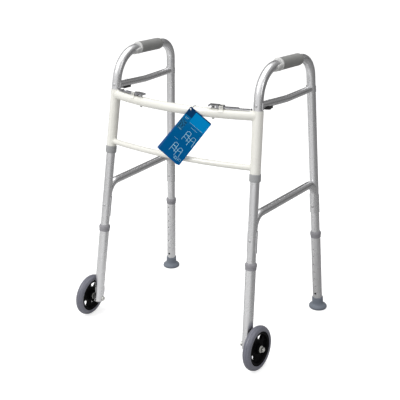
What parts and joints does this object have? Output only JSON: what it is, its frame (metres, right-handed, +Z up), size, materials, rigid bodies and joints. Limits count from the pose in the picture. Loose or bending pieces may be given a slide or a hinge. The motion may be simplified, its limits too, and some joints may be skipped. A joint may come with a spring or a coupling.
{
  "type": "front wheeled walker",
  "caption": "Folding front wheeled walker: bent side frames hinged on a bowed crossbar frame, telescoping legs, fixed front wheels, rubber rear tips, hand grips and release levers.",
  "frame": {"origin": "centre of the base on the floor, midway between the two sides", "axes": "+Z up, +Y from the front wheels towards the user, +X towards the side named right; the two sides mirror each other about X = 0, apart from the hang tag"},
  "size_m": [0.6376, 0.5108, 0.8228],
  "materials": {
    "ivory_paint": "satin paint",
    "anodised": "satin anodised",
    "brace_metal": "satin",
    "grip_vinyl": "matt, fine texture",
    "collar_plastic": "matt",
    "rivet_steel": "plain",
    "spring_steel": "plain",
    "tip_rubber": "matt",
    "zinc": "zinc plated",
    "tyre_rubber": "matt",
    "hub_plastic": "gloss",
    "bright_steel": "bright",
    "black_plastic": "matt",
    "plug_plastic": "matt",
    "card": "coated card",
    "tie_plastic": "satin"
  },
  "bodies": {
    "front": {"front_frame": "ivory_paint", "tag_tie": "tie_plastic", "left_lever_bracket": "ivory_paint", "left_lever_pin": "zinc", "left_guide_stud": "zinc", "left_lever_spring": "spring_steel", "right_lever_bracket": "ivory_paint", "right_lever_pin": "zinc", "right_guide_stud": "zinc", "right_lever_spring": "spring_steel"},
    "left_side": {"left_hoop": "anodised", "left_grip": "grip_vinyl", "left_upper_brace": "brace_metal", "left_lower_brace": "brace_metal", "left_brace_rivets": "rivet_steel", "left_sleeve_collar": "collar_plastic", "left_catch": "black_plastic", "front_left_clip": "spring_steel", "rear_left_clip": "spring_steel"},
    "front_left_leg": {"front_left_extension": "anodised", "front_left_collar": "collar_plastic", "left_leg_plug": "plug_plastic", "left_axle_bolt": "zinc", "left_axle_nut": "zinc", "left_axle_washers": "zinc"},
    "rear_left_leg": {"rear_left_extension": "anodised", "rear_left_collar": "collar_plastic", "left_rear_tip": "tip_rubber", "left_tip_washer": "zinc"},
    "left_wheel": {"left_tyre": "tyre_rubber", "left_wheel_hub": "hub_plastic"},
    "front_left_catch_button": {"front_left_button": "bright_steel"},
    "rear_left_catch_button": {"rear_left_button": "bright_steel"},
    "left_lever": {"left_release_lever": "bright_steel"},
    "right_side": {"right_hoop": "anodised", "right_grip": "grip_vinyl", "right_upper_brace": "brace_metal", "right_lower_brace": "brace_metal", "right_brace_rivets": "rivet_steel", "right_sleeve_collar": "collar_plastic", "right_catch": "black_plastic", "front_right_clip": "spring_steel", "rear_right_clip": "spring_steel"},
    "front_right_leg": {"front_right_extension": "anodised", "front_right_collar": "collar_plastic", "right_leg_plug": "plug_plastic", "right_axle_bolt": "zinc", "right_axle_nut": "zinc", "right_axle_washers": "zinc"},
    "rear_right_leg": {"rear_right_extension": "anodised", "rear_right_collar": "collar_plastic", "right_rear_tip": "tip_rubber", "right_tip_washer": "zinc"},
    "right_wheel": {"right_tyre": "tyre_rubber", "right_wheel_hub": "hub_plastic"},
    "front_right_catch_button": {"front_right_button": "bright_steel"},
    "rear_right_catch_button": {"rear_right_button": "bright_steel"},
    "right_lever": {"right_release_lever": "bright_steel"},
    "tag": {"hang_tag": "card"}
  },
  "joints": [
    {"name": "left_side_fold", "type": "hinge", "parent": "front", "child": "left_side", "pos_m": [-0.23709, -0.11679, 0.6189], "axis": [-0.0469, -0.1312, -0.9902], "range_deg": [0, 82]},
    {"name": "front_left_leg_slide", "type": "slide", "parent": "left_side", "child": "front_left_leg", "axis": [-0.0469, -0.1312, -0.9902], "range_m": [-0.0254, 0.1524], "deforming": ["front_left_button", "front_left_clip"]},
    {"name": "rear_left_leg_slide", "type": "slide", "parent": "left_side", "child": "rear_left_leg", "axis": [-0.0546, 0.0619, -0.9966], "range_m": [-0.0254, 0.1524], "deforming": ["rear_left_button", "rear_left_clip"]},
    {"name": "left_wheel_spin", "type": "hinge", "parent": "front_left_leg", "child": "left_wheel", "pos_m": [-0.2953, -0.19183, 0.06352], "axis": [0.9979, 0.0383, -0.0523], "continuous": true},
    {"name": "front_left_button_press", "type": "slide", "parent": "left_side", "child": "front_left_catch_button", "axis": [0.0448, -0.9906, 0.1291], "range_m": [0, 0.004], "stiffness_N_per_m": 800, "deforming": ["front_left_clip"]},
    {"name": "rear_left_button_press", "type": "slide", "parent": "left_side", "child": "rear_left_catch_button", "axis": [-0.035, 0.9973, 0.0639], "range_m": [0, 0.004], "stiffness_N_per_m": 800, "deforming": ["rear_left_clip"]},
    {"name": "left_lever_press", "type": "hinge", "parent": "front", "child": "left_lever", "pos_m": [-0.142, -0.13666, 0.7071], "axis": [-0.2273, -0.9738, 0], "range_deg": [-3, 0], "stiffness_Nm_per_rad": 1, "deforming": ["left_lever_spring"]},
    {"name": "right_side_fold", "type": "hinge", "parent": "front", "child": "right_side", "pos_m": [0.23709, -0.11679, 0.6189], "axis": [-0.0469, 0.1312, 0.9902], "range_deg": [0, 60]},
    {"name": "front_right_leg_slide", "type": "slide", "parent": "right_side", "child": "front_right_leg", "axis": [0.0469, -0.1312, -0.9902], "range_m": [-0.0254, 0.1524], "deforming": ["front_right_button", "front_right_clip"]},
    {"name": "rear_right_leg_slide", "type": "slide", "parent": "right_side", "child": "rear_right_leg", "axis": [0.0546, 0.0619, -0.9966], "range_m": [-0.0254, 0.1524], "deforming": ["rear_right_button", "rear_right_clip"]},
    {"name": "right_wheel_spin", "type": "hinge", "parent": "front_right_leg", "child": "right_wheel", "pos_m": [0.2953, -0.19183, 0.06352], "axis": [0.9979, -0.0383, 0.0523], "continuous": true},
    {"name": "front_right_button_press", "type": "slide", "parent": "right_side", "child": "front_right_catch_button", "axis": [-0.0448, -0.9906, 0.1291], "range_m": [0, 0.004], "stiffness_N_per_m": 800, "deforming": ["front_right_clip"]},
    {"name": "rear_right_button_press", "type": "slide", "parent": "right_side", "child": "rear_right_catch_button", "axis": [0.035, 0.9973, 0.0639], "range_m": [0, 0.004], "stiffness_N_per_m": 800, "deforming": ["rear_right_clip"]},
    {"name": "right_lever_press", "type": "hinge", "parent": "front", "child": "right_lever", "pos_m": [0.142, -0.13666, 0.7071], "axis": [-0.2273, 0.9738, 0], "range_deg": [-3, 0], "stiffness_Nm_per_rad": 1, "deforming": ["right_lever_spring"]},
    {"name": "tag_swing", "type": "hinge", "parent": "front", "child": "tag", "pos_m": [0.065, -0.1678, 0.696], "axis": [-0.9636, -0.2672, 0], "range_deg": [0, 40]}
  ]
}
